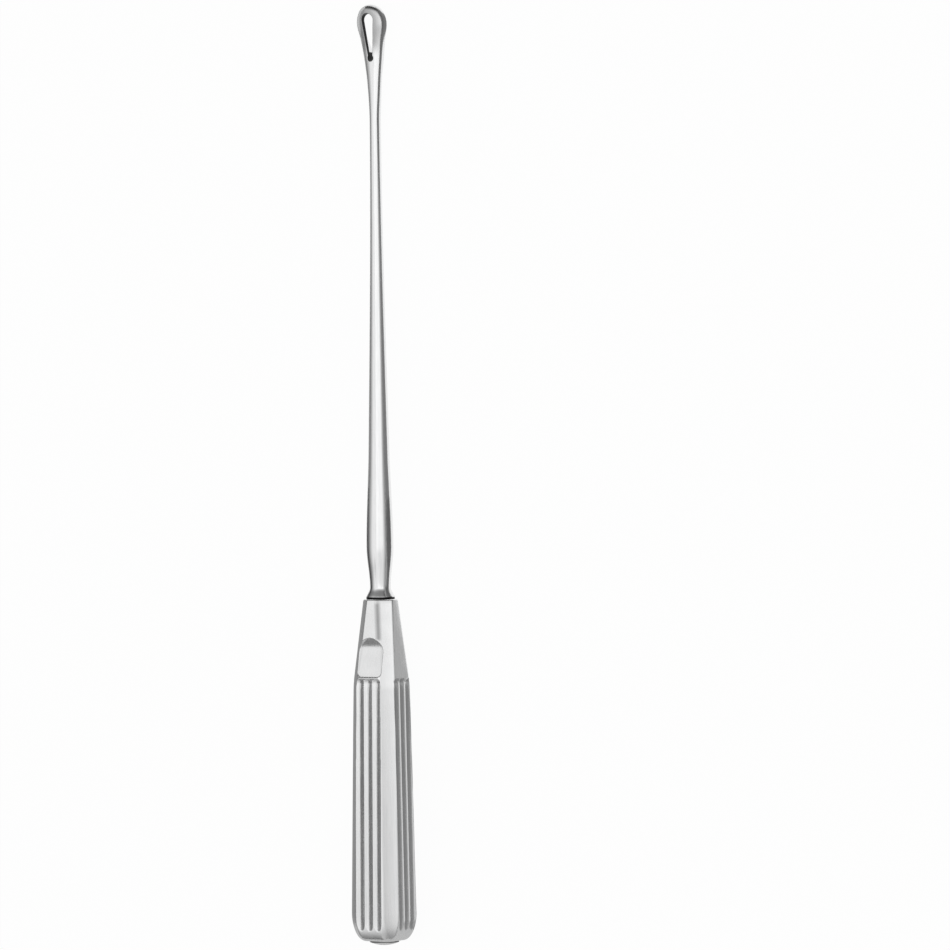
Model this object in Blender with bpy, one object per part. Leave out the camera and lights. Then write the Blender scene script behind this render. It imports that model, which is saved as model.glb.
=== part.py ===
"""Rigid uterine curette: a forged steel shaft that ends in a small spoon-shaped loop, a hollow
four-sided handle with fluted faces and a thumb rest, and a domed plug that closes the handle.

Metres, +Z up. The instrument lies on its back along X, the loop towards +X and the thumb rest up.
Each piece is drawn in the instrument's own frame: X is the shaft's axis, and a distance from the
tip or from the handle's top is measured along it, towards the butt. The empty rest_pose then turns
and lifts all of it to the place in which it comes to rest, with the middle of its base at the origin.
"""

import math

import bmesh
import bpy
import numpy as np
from mathutils import Matrix, Vector

MM = 0.001
SEAT_GAP = 0.3 * MM

# The loop: a shallow spoon with a window through its back, sharp round its rim
LOOP_WIDTH = 9.0 * MM
LOOP_FRONT_DEPTH = 2.2 * MM
LOOP_BACK_DEPTH = 1.4 * MM
LOOP_WIDEST_AT = 5.2 * MM
LOOP_SHOULDER_AT = 9.6 * MM
LOOP_SHOULDER_WIDTH = 7.2 * MM
NOSE_LENGTH = 2.2 * MM
RIM_EDGE = 0.2 * MM
BOWL_WIDTH = 7.26 * MM
BOWL_SHELL = 1.65 * MM
BOWL_FILLET = 0.6 * MM
BOWL_END_WIDTH = 1.5 * MM
WINDOW_WIDTH = 3.58 * MM
WINDOW_FROM_TIP = 2.4 * MM
WINDOW_END_WIDTH = 1.2 * MM
EYE_AT = 14.8 * MM
EYE_DIAMETER = 1.8 * MM
RIM_SQUARENESS = 8.0

# The loop is bent forwards: each point is lifted by a share of TIP_LIFT that falls to nothing
BEND_START_AT = 27.0 * MM
TIP_LIFT = 2.1 * MM
BEND_POWER = 1.7

# The shaft, as distances from the tip and diameters
THROAT_WIDTH = 5.7 * MM
THROAT_HALF_DEPTH = 1.7 * MM
STEM_AT = 22.0 * MM
STEM_WIDTH = 4.24 * MM
STEM_HALF_DEPTH = 1.66 * MM
NECK_AT = 32.5 * MM
NECK_DIAMETER = 3.15 * MM
TAPER_END_AT = 124.0 * MM
TAPER_END_DIAMETER = 5.85 * MM
BELLY_AT = 150.0 * MM
BELLY_DIAMETER = 7.5 * MM
WAIST_AT = 161.2 * MM
WAIST_DIAMETER = 5.75 * MM
SHAFT_LENGTH = 164.2 * MM
SHOULDER_DIAMETER = 7.9 * MM
SHOULDER_LIP = 0.3 * MM
TANG_DIAMETER = 4.0 * MM
TANG_LENGTH = 24.0 * MM
TANG_CHAMFER = 0.5 * MM

# The handle, as distances from its top and half widths across its flat faces
HANDLE_LENGTH = 94.5 * MM
TOP_HALF_WIDTH = 4.85 * MM
KNEE_AT = 23.7 * MM
KNEE_HALF_WIDTH = 7.06 * MM
KNEE_BLEND = 1.5 * MM
BUTT_HALF_WIDTH = 7.87 * MM
CORNER_CUT = 3.46 * MM
EDGE_ROUNDING = 0.9 * MM
TOP_EDGE = 0.45 * MM
BUTT_ROUNDING_LENGTH = 8.0 * MM
BUTT_ROUNDING_DEPTH = 3.45 * MM
BUTT_EDGE_ROUNDING = 2.4 * MM
WALL = 2.0 * MM
NECK_SOCKET_LENGTH = 15.0 * MM
CAVITY_STOP = 6.5 * MM
CAVITY_RAMP = 2.5 * MM
BORE_FLAT = 0.1 * MM

# The flutes: round grooves side by side in each of the four faces, with sharp ridges between them
FLUTES_PER_FACE = 3
FLUTE_PITCH = 2.75 * MM
FLUTE_DEPTH = 0.65 * MM
RIDGE_DEPTH = 0.1 * MM
FLUTE_STEP_BACK = 0.2 * MM
FLUTE_STEPS = 8

# The thumb rest: an arched scoop on the front face, deep at its top and shallow at its foot
THUMB_REST_AT = 10.6 * MM
THUMB_REST_LENGTH = 11.0 * MM
THUMB_REST_WIDTH = 8.2 * MM
THUMB_REST_DEPTH = 1.4 * MM
THUMB_REST_FOOT_DEPTH = 0.7 * MM
THUMB_REST_FOOT_ROUNDING = 1.6 * MM
THUMB_REST_WALL_RUN = 2.8 * MM

# The plug: a domed head on the handle's end, with a spigot in its bore
PLUG_DIAMETER = 8.1 * MM
PLUG_DOME = 1.0 * MM
PLUG_EDGE = 0.15 * MM
SPIGOT_DIAMETER = 6.0 * MM
SPIGOT_LENGTH = 4.0 * MM

OVERALL_LENGTH = SHAFT_LENGTH + SEAT_GAP + HANDLE_LENGTH + SEAT_GAP + PLUG_DOME
HANDLE_TOP_AT = SHAFT_LENGTH + SEAT_GAP
HANDLE_END_AT = HANDLE_TOP_AT + HANDLE_LENGTH
FLUTES_FROM = THUMB_REST_AT + THUMB_REST_LENGTH + FLUTE_STEP_BACK
CUTTER_MARGIN = 2.0 * MM

# How finely the curves are drawn
RING_POINTS = 36
ROUNDING_STEPS = 3
DROP_STEPS = 14
SHARP_ANGLE = math.radians(35)
TIP_ANGLES = range(7, 90, 9)
BUTT_ANGLES = range(0, 91, 10)
ARCH_ANGLES = range(10, 91, 10)
FOOT_ANGLES = (30, 55, 80)
FLUTE_TOP_ANGLES = (20, 40, 60, 90)
DOME_SHARES = (1.0, 0.8, 0.6, 0.4, 0.2, 0.05)


def clear_scene():
    for obj in list(bpy.data.objects):
        bpy.data.objects.remove(obj, do_unlink=True)


def steel(name, brightness, roughness):
    """A Principled BSDF for bare stainless steel."""
    material = bpy.data.materials.new(name)
    material.use_nodes = True
    shader = material.node_tree.nodes["Principled BSDF"]
    shader.inputs["Base Color"].default_value = (brightness, brightness, brightness, 1.0)
    shader.inputs["Metallic"].default_value = 1.0
    shader.inputs["Roughness"].default_value = roughness
    material.diffuse_color = (brightness, brightness, brightness, 1.0)
    return material


def axis_point(distance, across, height):
    """A point in the instrument's frame, from its distance behind the tip."""
    return Vector((OVERALL_LENGTH / 2 - distance, across, height))


def loft(name, rings, material=None):
    """A closed solid through rings of the same number of points, with a flat face at each end."""
    shape = bmesh.new()
    layers = [[shape.verts.new(point) for point in ring] for ring in rings]
    count = len(layers[0])
    for back, front in zip(layers, layers[1:]):
        for i in range(count):
            j = (i + 1) % count
            shape.faces.new((back[i], back[j], front[j], front[i]))
    shape.faces.new(layers[0])
    shape.faces.new(layers[-1])
    bmesh.ops.recalc_face_normals(shape, faces=shape.faces)
    mesh = bpy.data.meshes.new(name)
    shape.to_mesh(mesh)
    shape.free()
    mesh.shade_smooth()
    mesh.set_sharp_from_angle(angle=SHARP_ANGLE)
    if material:
        mesh.materials.append(material)
    obj = bpy.data.objects.new(name, mesh)
    bpy.context.scene.collection.objects.link(obj)
    return obj


def cut(piece, cutter):
    """Takes the cutter out of the piece, and keeps it as a wire helper that rides with it."""
    cutter.hide_render = True
    cutter.display_type = "WIRE"
    cutter.parent = piece
    boolean = piece.modifiers.new(cutter.name, "BOOLEAN")
    boolean.operation = "DIFFERENCE"
    boolean.solver = "EXACT"
    boolean.object = cutter


def smooth_through(stations, values, at):
    """A smooth curve through the stations, level at its peaks and hollows, that never overshoots."""
    stations, values, at = (np.asarray(part, dtype=float) for part in (stations, values, at))
    steps = np.diff(stations)
    slopes = np.diff(values) / steps
    tangents = np.zeros(len(values))
    tangents[-1] = slopes[-1]
    for i in range(1, len(slopes)):
        if slopes[i - 1] * slopes[i] > 0:
            tangents[i] = 2 * slopes[i - 1] * slopes[i] / (slopes[i - 1] + slopes[i])
    k = np.clip(np.searchsorted(stations, at, side="right") - 1, 0, len(steps) - 1)
    u = (at - stations[k]) / steps[k]
    return (
        values[k] * (1 + 2 * u) * (1 - u) ** 2
        + tangents[k] * steps[k] * u * (1 - u) ** 2
        + values[k + 1] * u**2 * (3 - 2 * u)
        + tangents[k + 1] * steps[k] * u**2 * (u - 1)
    )


def ease(value, start, end):
    """0 before start and 1 after end, with a level beginning and end."""
    u = min(max((value - start) / (end - start), 0.0), 1.0)
    return u * u * (3 - 2 * u)


# Distance from the tip, then the width and how deep the front and the back are
SHAFT_STATIONS = (
    (LOOP_WIDEST_AT, LOOP_WIDTH, LOOP_FRONT_DEPTH, LOOP_BACK_DEPTH),
    (
        LOOP_SHOULDER_AT,
        LOOP_SHOULDER_WIDTH,
        (LOOP_FRONT_DEPTH + THROAT_HALF_DEPTH) / 2,
        (LOOP_BACK_DEPTH + THROAT_HALF_DEPTH) / 2,
    ),
    (EYE_AT, THROAT_WIDTH, THROAT_HALF_DEPTH, THROAT_HALF_DEPTH),
    (STEM_AT, STEM_WIDTH, STEM_HALF_DEPTH, STEM_HALF_DEPTH),
    (NECK_AT, NECK_DIAMETER, NECK_DIAMETER / 2, NECK_DIAMETER / 2),
    (TAPER_END_AT, TAPER_END_DIAMETER, TAPER_END_DIAMETER / 2, TAPER_END_DIAMETER / 2),
    (BELLY_AT, BELLY_DIAMETER, BELLY_DIAMETER / 2, BELLY_DIAMETER / 2),
    (WAIST_AT, WAIST_DIAMETER, WAIST_DIAMETER / 2, WAIST_DIAMETER / 2),
    (
        SHAFT_LENGTH - SHOULDER_LIP,
        SHOULDER_DIAMETER,
        SHOULDER_DIAMETER / 2,
        SHOULDER_DIAMETER / 2,
    ),
)


def lift(distance):
    """How far the forward bend raises the shaft's centre line."""
    reach = max(1 - distance / BEND_START_AT, 0.0)
    return TIP_LIFT * reach**BEND_POWER


def shaft_ring(distance):
    """The outline of the loop or shaft at a distance from the tip: an oval front, and a back that
    is flat with sharp corners at the loop and rounds off towards the neck."""
    at = max(distance, LOOP_WIDEST_AT)
    where, *sizes = zip(*SHAFT_STATIONS)
    width, front_depth, back_depth = (float(smooth_through(where, size, at)) for size in sizes)
    half_width = width / 2
    if distance < LOOP_WIDEST_AT:
        half_width *= math.sqrt(1 - (1 - distance / LOOP_WIDEST_AT) ** 2)
    front_depth *= math.sqrt(1 - max(1 - distance / NOSE_LENGTH, 0.0) ** 2)
    back_depth *= math.sqrt(1 - max(1 - distance / RIM_EDGE, 0.0) ** 2)
    rounding = ease(distance, LOOP_WIDEST_AT, STEM_AT)
    back_power = 2 / (RIM_SQUARENESS + (2 - RIM_SQUARENESS) * rounding)
    ring = []
    for i in range(RING_POINTS):
        angle = math.tau * i / RING_POINTS
        side, up = round(math.cos(angle), 12), round(math.sin(angle), 12)
        power, depth = (1.0, front_depth) if up > 0 else (back_power, back_depth)
        across = math.copysign(abs(side) ** power, side)
        height = math.copysign(abs(up) ** power, up)
        ring.append(axis_point(distance, half_width * across, depth * height + lift(distance)))
    return ring


def round_ring(distance, radius):
    ring = []
    for i in range(RING_POINTS):
        angle = math.tau * i / RING_POINTS
        ring.append(axis_point(distance, radius * math.cos(angle), radius * math.sin(angle)))
    return ring


def shaft_distances():
    """Where the shaft's outlines lie: close together round the tip and wherever it curves."""
    tip = [LOOP_WIDEST_AT * (1 - math.cos(math.radians(a))) for a in TIP_ANGLES]
    spans = (
        (LOOP_WIDEST_AT, EYE_AT, 9),
        (EYE_AT, NECK_AT, 10),
        (NECK_AT, TAPER_END_AT, 8),
        (TAPER_END_AT, BELLY_AT, 8),
        (BELLY_AT, WAIST_AT, 8),
        (WAIST_AT, SHAFT_LENGTH - SHOULDER_LIP, 5),
    )
    middle = [near + (far - near) * i / steps for near, far, steps in spans for i in range(steps)]
    return tip + middle + [SHAFT_LENGTH - SHOULDER_LIP]


def drop_outline(wide_at, wide_radius, end_at, end_radius):
    """The outline, in plan, of a drop: a large round end towards the tip, a small one towards the
    neck, and straight sides that touch both."""
    lean = math.asin((wide_radius - end_radius) / (end_at - wide_at))
    turn = math.pi / 2 - lean
    outline = []
    for centre, radius, middle, sweep in (
        (wide_at, wide_radius, 0.0, math.pi - turn),
        (end_at, end_radius, math.pi, turn),
    ):
        for i in range(DROP_STEPS + 1):
            angle = middle - sweep + 2 * sweep * i / DROP_STEPS
            outline.append((centre - radius * math.cos(angle), radius * math.sin(angle)))
    return outline


def drop_cutter(name, layers):
    """A bent cutter through drop outlines, one for each (height, outline)."""
    return loft(
        name,
        [[axis_point(s, y, height + lift(s)) for s, y in outline] for height, outline in layers],
    )


def make_shaft(material):
    """The loop, neck, shaft, shoulder and tang, forged in one."""
    rings = [shaft_ring(distance) for distance in shaft_distances()]
    tang_end = SHAFT_LENGTH + TANG_LENGTH
    tang_radius = TANG_DIAMETER / 2
    rings += [
        round_ring(SHAFT_LENGTH, SHOULDER_DIAMETER / 2),
        round_ring(SHAFT_LENGTH, tang_radius),
        round_ring(tang_end - TANG_CHAMFER, tang_radius),
        round_ring(tang_end, tang_radius - TANG_CHAMFER),
    ]
    shaft = loft("loop_shaft", rings, material)

    below = -LOOP_BACK_DEPTH - TIP_LIFT - CUTTER_MARGIN
    above = LOOP_FRONT_DEPTH + CUTTER_MARGIN
    ceiling = LOOP_FRONT_DEPTH - BOWL_SHELL
    layers = [(below, drop_outline(LOOP_WIDEST_AT, BOWL_WIDTH / 2, EYE_AT, BOWL_END_WIDTH / 2))]
    for i in range(ROUNDING_STEPS + 1):
        angle = math.pi / 2 * i / ROUNDING_STEPS
        inset = BOWL_FILLET * (1 - math.cos(angle))
        outline = drop_outline(
            LOOP_WIDEST_AT, BOWL_WIDTH / 2 - inset, EYE_AT, BOWL_END_WIDTH / 2 - inset
        )
        layers.append((ceiling - BOWL_FILLET * (1 - math.sin(angle)), outline))
    cut(shaft, drop_cutter("bowl_cutter", layers))

    window_radius = WINDOW_WIDTH / 2
    window = drop_outline(
        WINDOW_FROM_TIP + window_radius, window_radius, EYE_AT, WINDOW_END_WIDTH / 2
    )
    cut(shaft, drop_cutter("window_cutter", [(below, window), (above, window)]))

    eye = []
    for i in range(RING_POINTS):
        angle = math.tau * i / RING_POINTS
        eye.append(
            (EYE_AT + EYE_DIAMETER / 2 * math.cos(angle), EYE_DIAMETER / 2 * math.sin(angle))
        )
    cut(shaft, drop_cutter("eye_cutter", [(below, eye), (above, eye)]))
    return shaft


def handle_half_width(distance):
    """From the axis to a flat face, at a distance below the handle's top: two straight tapers that
    meet in a soft knee."""
    upper = (KNEE_HALF_WIDTH - TOP_HALF_WIDTH) / KNEE_AT
    lower = (BUTT_HALF_WIDTH - KNEE_HALF_WIDTH) / (HANDLE_LENGTH - BUTT_ROUNDING_LENGTH - KNEE_AT)
    past = distance - KNEE_AT
    if past <= -KNEE_BLEND:
        return KNEE_HALF_WIDTH + upper * past
    if past >= KNEE_BLEND:
        return KNEE_HALF_WIDTH + lower * past
    u = (past + KNEE_BLEND) / (2 * KNEE_BLEND)
    climb = 2 * KNEE_BLEND * (upper * u + (lower - upper) * u**2 / 2)
    return KNEE_HALF_WIDTH - upper * KNEE_BLEND + climb


def knee_distances():
    """Where outlines follow one another through the knee, below the handle's top."""
    steps = range(ROUNDING_STEPS + 1)
    return [KNEE_AT + KNEE_BLEND * (2 * step / ROUNDING_STEPS - 1) for step in steps]


def corner_distance(half_width):
    """From the axis to the flat of a cut corner."""
    return (2 * half_width - CORNER_CUT) / math.sqrt(2)


def eight_sided_ring(distance, face, corner, rounding):
    """The outline of a square with cut corners, at a distance below the handle's top: face and
    corner are how far its flats lie from the axis, and rounding softens all eight edges."""
    ring = []
    for i in range(8):
        first, second = (face, corner) if i % 2 == 0 else (corner, face)
        start, end = math.radians(45 * i), math.radians(45 * (i + 1))
        near, far = first - rounding, second - rounding
        centre_y = (near * math.sin(end) - far * math.sin(start)) / math.sin(end - start)
        centre_z = (far * math.cos(start) - near * math.cos(end)) / math.sin(end - start)
        for j in range(ROUNDING_STEPS + 1):
            angle = start + (end - start) * j / ROUNDING_STEPS
            y = centre_y + rounding * math.cos(angle)
            z = centre_z + rounding * math.sin(angle)
            ring.append(axis_point(HANDLE_TOP_AT + distance, y, z))
    return ring


def handle_ring(distance, inset=0.0, rounding=EDGE_ROUNDING):
    half_width = handle_half_width(distance)
    corner = corner_distance(half_width) - inset
    return eight_sided_ring(distance, half_width - inset, corner, rounding)


def bore_ring(distance, radius):
    """A round outline with as many points as the handle's own, none of them doubled: its arcs are
    a little smaller than the bore, with short flats between them."""
    return eight_sided_ring(distance, radius, radius, radius - BORE_FLAT)


def make_handle(material):
    """The hollow handle, with a socket for the tang, a bore for the plug, flutes and thumb rest."""
    rings = []
    for i in range(ROUNDING_STEPS + 1):
        angle = math.pi / 2 * i / ROUNDING_STEPS
        rings.append(handle_ring(TOP_EDGE * (1 - math.cos(angle)), TOP_EDGE * (1 - math.sin(angle))))
    rings += [handle_ring(distance) for distance in knee_distances()]
    rounding_start = HANDLE_LENGTH - BUTT_ROUNDING_LENGTH
    for degrees in BUTT_ANGLES:
        share = math.sin(math.radians(degrees))
        inset = BUTT_ROUNDING_DEPTH * (1 - math.cos(math.radians(degrees)))
        rounding = EDGE_ROUNDING + (BUTT_EDGE_ROUNDING - EDGE_ROUNDING) * share**2
        rings.append(handle_ring(rounding_start + BUTT_ROUNDING_LENGTH * share, inset, rounding))
    handle = loft("handle", rings, material)
    cut(handle, handle_cavity())
    cut(handle, thumb_rest_cutter())
    flutes = flute_cutter("flute_cutter_1")
    cut(handle, flutes)
    for quarter in (1, 2, 3):
        copy = bpy.data.objects.new(f"flute_cutter_{quarter + 1}", flutes.data)
        copy.rotation_euler.x = math.pi / 2 * quarter
        bpy.context.scene.collection.objects.link(copy)
        cut(handle, copy)
    return handle


def handle_cavity():
    """The handle's inside: a round socket, a space that keeps one wall to the faces outside it,
    and a round bore at the butt."""
    socket = TANG_DIAMETER / 2 + SEAT_GAP
    bore = SPIGOT_DIAMETER / 2 + SEAT_GAP
    last = HANDLE_LENGTH - BUTT_ROUNDING_LENGTH
    rings = [bore_ring(-CUTTER_MARGIN, socket), bore_ring(NECK_SOCKET_LENGTH, socket)]
    rings += [
        handle_ring(distance, WALL)
        for distance in (NECK_SOCKET_LENGTH + CAVITY_RAMP, KNEE_AT + KNEE_BLEND, last)
    ]
    rings.append(bore_ring(HANDLE_LENGTH - CAVITY_STOP, bore))
    rings.append(bore_ring(HANDLE_LENGTH + CUTTER_MARGIN, bore))
    return loft("cavity_cutter", rings)


def thumb_rest_cutter():
    """The space that the thumb rest takes out of the front face."""
    arch = THUMB_REST_WIDTH / 2
    foot_at = THUMB_REST_LENGTH - THUMB_REST_FOOT_ROUNDING
    below_top = [arch * (1 - math.cos(math.radians(a))) for a in ARCH_ANGLES] + [foot_at]
    below_top += [
        foot_at + THUMB_REST_FOOT_ROUNDING * math.sin(math.radians(a)) for a in FOOT_ANGLES
    ]
    rings = []
    for run in below_top:
        half_width = arch
        if run < arch:
            half_width *= math.sqrt(1 - (1 - run / arch) ** 2)
        if run > foot_at:
            past = (run - foot_at) / THUMB_REST_FOOT_ROUNDING
            half_width += THUMB_REST_FOOT_ROUNDING * (math.sqrt(1 - past**2) - 1)
        slope = THUMB_REST_DEPTH + (THUMB_REST_FOOT_DEPTH - THUMB_REST_DEPTH) * (
            ease(run, arch / 2, THUMB_REST_LENGTH)
        )
        depth = slope * math.sqrt(1 - max(1 - run / THUMB_REST_WALL_RUN, 0.0) ** 2)
        at = THUMB_REST_AT + run
        floor = handle_half_width(at) - depth
        top = BUTT_HALF_WIDTH + CUTTER_MARGIN
        corners = ((-half_width, top), (-half_width, floor), (half_width, floor), (half_width, top))
        rings.append([axis_point(HANDLE_TOP_AT + at, y, z) for y, z in corners])
    return loft("thumb_rest_cutter", rings)


def flute_profile(run):
    """Across a face, at a distance below the flutes' top: (place, depth below the face). Each
    flute is part of a round bar, and its top is part of a ball."""
    reach = FLUTE_PITCH / 2
    radius = (reach**2 + FLUTE_DEPTH**2) / (2 * FLUTE_DEPTH)
    short = reach * max(1 - run / reach, 0.0)
    ridge = RIDGE_DEPTH * math.sqrt(1 - (short / reach) ** 2)
    profile = []
    for flute in range(FLUTES_PER_FACE):
        middle = (flute - (FLUTES_PER_FACE - 1) / 2) * FLUTE_PITCH
        for step in range(FLUTE_STEPS + (flute == FLUTES_PER_FACE - 1)):
            aside = FLUTE_PITCH * (step / FLUTE_STEPS - 0.5)
            ball = math.sqrt(radius**2 - min(aside**2 + short**2, reach**2))
            profile.append((middle + aside, ridge + ball - (radius - FLUTE_DEPTH)))
    return profile


def flute_cutter(name):
    """Takes the flutes out of one face, from below the thumb rest to the butt."""
    side = FLUTES_PER_FACE * FLUTE_PITCH / 2
    top = BUTT_HALF_WIDTH + CUTTER_MARGIN
    run_ins = [FLUTE_PITCH / 2 * (1 - math.cos(math.radians(a))) for a in FLUTE_TOP_ANGLES]
    stops = [FLUTES_FROM + run for run in run_ins]
    stops += [at for at in knee_distances() if at > stops[-1]]
    stops.append(HANDLE_LENGTH + CUTTER_MARGIN)
    rings = []
    for at in stops:
        face = handle_half_width(at)
        ring = [
            axis_point(HANDLE_TOP_AT + at, y, face - depth)
            for y, depth in flute_profile(at - FLUTES_FROM)
        ]
        ring.append(axis_point(HANDLE_TOP_AT + at, side, top))
        ring.append(axis_point(HANDLE_TOP_AT + at, -side, top))
        rings.append(ring)
    return loft(name, rings)


def make_plug(material):
    """The domed plug, turned: a cap of a sphere over a short spigot."""
    radius = PLUG_DIAMETER / 2
    rise = PLUG_DOME - PLUG_EDGE
    sphere = (radius**2 + rise**2) / (2 * rise)
    spread = math.asin(radius / sphere)
    seat = HANDLE_END_AT + SEAT_GAP
    spigot = SPIGOT_DIAMETER / 2
    rings = [
        round_ring(seat - SPIGOT_LENGTH, spigot),
        round_ring(seat, spigot),
        round_ring(seat, radius),
    ]
    for share in DOME_SHARES:
        angle = spread * share
        rings.append(
            round_ring(
                seat + PLUG_DOME - sphere * (1 - math.cos(angle)), sphere * math.sin(angle)
            )
        )
    return loft("end_plug", rings, material)


def built_points(obj):
    """The corners and the triangles of an object with its cuts made, in its own frame."""
    graph = bpy.context.evaluated_depsgraph_get()
    mesh = obj.evaluated_get(graph).to_mesh()
    mesh.calc_loop_triangles()
    points = np.array([vertex.co for vertex in mesh.vertices])
    triangles = np.array([triangle.vertices for triangle in mesh.loop_triangles])
    obj.evaluated_get(graph).to_mesh_clear()
    return points, triangles


def balance_point(pieces):
    """How far along X the pieces balance, all being of one steel."""
    volume = 0.0
    moment = 0.0
    for points, triangles in pieces:
        a, b, c = (points[triangles[:, k]] for k in range(3))
        cones = np.einsum("ij,ij->i", a, np.cross(b, c)) / 6
        volume += cones.sum()
        moment += (cones * (a + b + c)[:, 0] / 4).sum()
    return moment / volume


def lay_down(pieces):
    """Turns and lifts the pieces together so that they rest on the ground: on the two lowest places
    either side of where they balance, which are the handle's knee and the stem behind the loop."""
    built = [built_points(piece) for piece in pieces]
    balance = balance_point(built)
    points = np.vstack([corners for corners, _ in built])
    under = []
    for point in points[np.lexsort((points[:, 2], points[:, 0]))]:
        while len(under) > 1:
            before, last = under[-2], under[-1]
            rise = (last[2] - before[2]) * (point[0] - before[0])
            if rise < (point[2] - before[2]) * (last[0] - before[0]):
                break
            under.pop()
        under.append(point)
    behind, ahead = next(
        (first, second) for first, second in zip(under, under[1:]) if second[0] > balance
    )
    turn = Matrix.Rotation(math.atan2(ahead[2] - behind[2], ahead[0] - behind[0]), 4, "Y")
    turned = points @ np.array(turn.to_3x3()).T
    low, high = turned.min(axis=0), turned.max(axis=0)
    middle = Vector((-(low[0] + high[0]) / 2, -(low[1] + high[1]) / 2, -low[2]))
    rest_pose = bpy.data.objects.new("rest_pose", None)
    bpy.context.scene.collection.objects.link(rest_pose)
    rest_pose.matrix_world = Matrix.Translation(middle) @ turn
    for piece in pieces:
        piece.parent = rest_pose


def main():
    clear_scene()
    pieces = [
        make_shaft(steel("polished_steel", 0.72, 0.22)),
        make_handle(steel("satin_steel", 0.78, 0.34)),
        make_plug(steel("plug_steel", 0.74, 0.3)),
    ]
    bpy.context.view_layer.update()
    lay_down(pieces)


main()
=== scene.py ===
"""The dressed model of a rigid uterine curette: a forged and polished shaft with a windowed
spoon at its tip, a satin handle with fluted faces and a thumb rest, and a turned end plug.

Every piece is drawn in the instrument's own frame, where X is its axis with the tip at the
positive end and Z points out of the face with the thumb rest. A distance called down is
measured from the tip or from the handle's top towards the butt. The last step lays each piece
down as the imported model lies. Metres throughout.
"""

import math

import bmesh
import bpy
import numpy as np
from mathutils import Matrix, Vector

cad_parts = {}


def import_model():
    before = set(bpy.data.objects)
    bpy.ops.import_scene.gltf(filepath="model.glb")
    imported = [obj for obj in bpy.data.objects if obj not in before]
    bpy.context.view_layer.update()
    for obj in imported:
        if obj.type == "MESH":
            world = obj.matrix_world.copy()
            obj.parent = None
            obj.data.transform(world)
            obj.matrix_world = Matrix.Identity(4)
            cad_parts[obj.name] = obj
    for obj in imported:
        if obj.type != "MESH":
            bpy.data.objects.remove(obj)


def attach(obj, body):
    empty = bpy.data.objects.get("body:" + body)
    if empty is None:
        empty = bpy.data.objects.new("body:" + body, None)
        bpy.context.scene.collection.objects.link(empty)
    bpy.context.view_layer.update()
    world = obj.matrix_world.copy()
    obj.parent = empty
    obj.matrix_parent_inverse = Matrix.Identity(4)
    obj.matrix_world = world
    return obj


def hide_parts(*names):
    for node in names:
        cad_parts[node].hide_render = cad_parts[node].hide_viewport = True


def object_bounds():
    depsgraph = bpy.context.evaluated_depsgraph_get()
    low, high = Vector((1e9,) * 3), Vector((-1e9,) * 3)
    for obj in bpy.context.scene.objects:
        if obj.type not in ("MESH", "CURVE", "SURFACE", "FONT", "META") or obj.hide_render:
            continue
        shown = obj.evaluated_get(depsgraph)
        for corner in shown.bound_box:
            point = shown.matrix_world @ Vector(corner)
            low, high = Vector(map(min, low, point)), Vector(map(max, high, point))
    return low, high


MM = 0.001
RIGHT_ANGLE = math.pi / 2

# How the instrument lies: the slope of its axis, and where the middle of its length is
REST_SLOPE = math.radians(1.86416)
REST_MIDDLE = (-0.0191 * MM, 0.0, 5.0577 * MM)
SEAT_GAP = 0.3 * MM

# The loop
LOOP_WIDTH = 9.0 * MM
LOOP_FRONT_DEPTH = 2.2 * MM
LOOP_BACK_DEPTH = 1.4 * MM
LOOP_WIDEST_AT = 5.2 * MM
LOOP_SHOULDER_AT = 9.6 * MM
LOOP_SHOULDER_WIDTH = 7.2 * MM
LOOP_STARTS_AT = 0.04 * MM
NOSE_LENGTH = 2.2 * MM
RIM_EDGE = 0.2 * MM
BOWL_WIDTH = 7.26 * MM
BOWL_SHELL = 1.65 * MM
BOWL_FILLET = 0.6 * MM
BOWL_END_AT = 13.3 * MM
BOWL_END_WIDTH = 1.5 * MM
WINDOW_WIDTH = 3.58 * MM
WINDOW_FROM_TIP = 2.55 * MM
WINDOW_END_WIDTH = 1.2 * MM
EYE_AT = 14.8 * MM
EYE_DIAMETER = 1.8 * MM
RIM_SQUARENESS = 8.0
BEND_START_AT = 27.0 * MM
TIP_LIFT = 2.1 * MM
BEND_POWER = 1.7
HEAD_END_AT = 18.0 * MM

# The polished-off edges of the loop
WINDOW_TOP_ROUNDING = 0.16 * MM
WINDOW_BACK_ROUNDING = 0.08 * MM
RIM_ROUNDING = 0.08 * MM
LEAST_LEDGE = 0.02 * MM
NARROW_LEDGE = 0.1 * MM
NARROW_FILLET_SHARE = 0.8
NARROW_ROUNDING_SHARE = 0.1

# The loop is ground to a duller, rougher finish, and painted shade darkens its tone towards the
# window; both fade into the polish of the stem and, by shares of the rim's width, towards its
# outer edge
GROUND_UNTIL = 10.0 * MM
GROUND_FADES_BY = 14.5 * MM
EDGE_POLISH = 0.75
EDGE_POLISH_FROM = 0.25
EDGE_POLISH_BY = 0.95
# Painted shade on the window's cut walls: over how many columns it fades out past the wall, and how
# much of it the bowl's roof gets
WALL_SHADE_COLUMNS = 4
ROOF_SHADE = 0.5

# How finely the head is drawn: the rays over half its plan, and the points along what each cuts
NOSE_RAYS = 36
WINDOW_RAYS = 34
EYE_RAYS = 18
REAR_RAYS = 8
STEM_QUARTER_POINTS = 20
BEND_POINTS = 5
WALL_POINTS = 5
ROOF_POINTS = 7
SURFACE_POINTS = 34
MEASURING_POINTS = 300
MEASURING_CROWDING = 6
HALVINGS = 40

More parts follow.
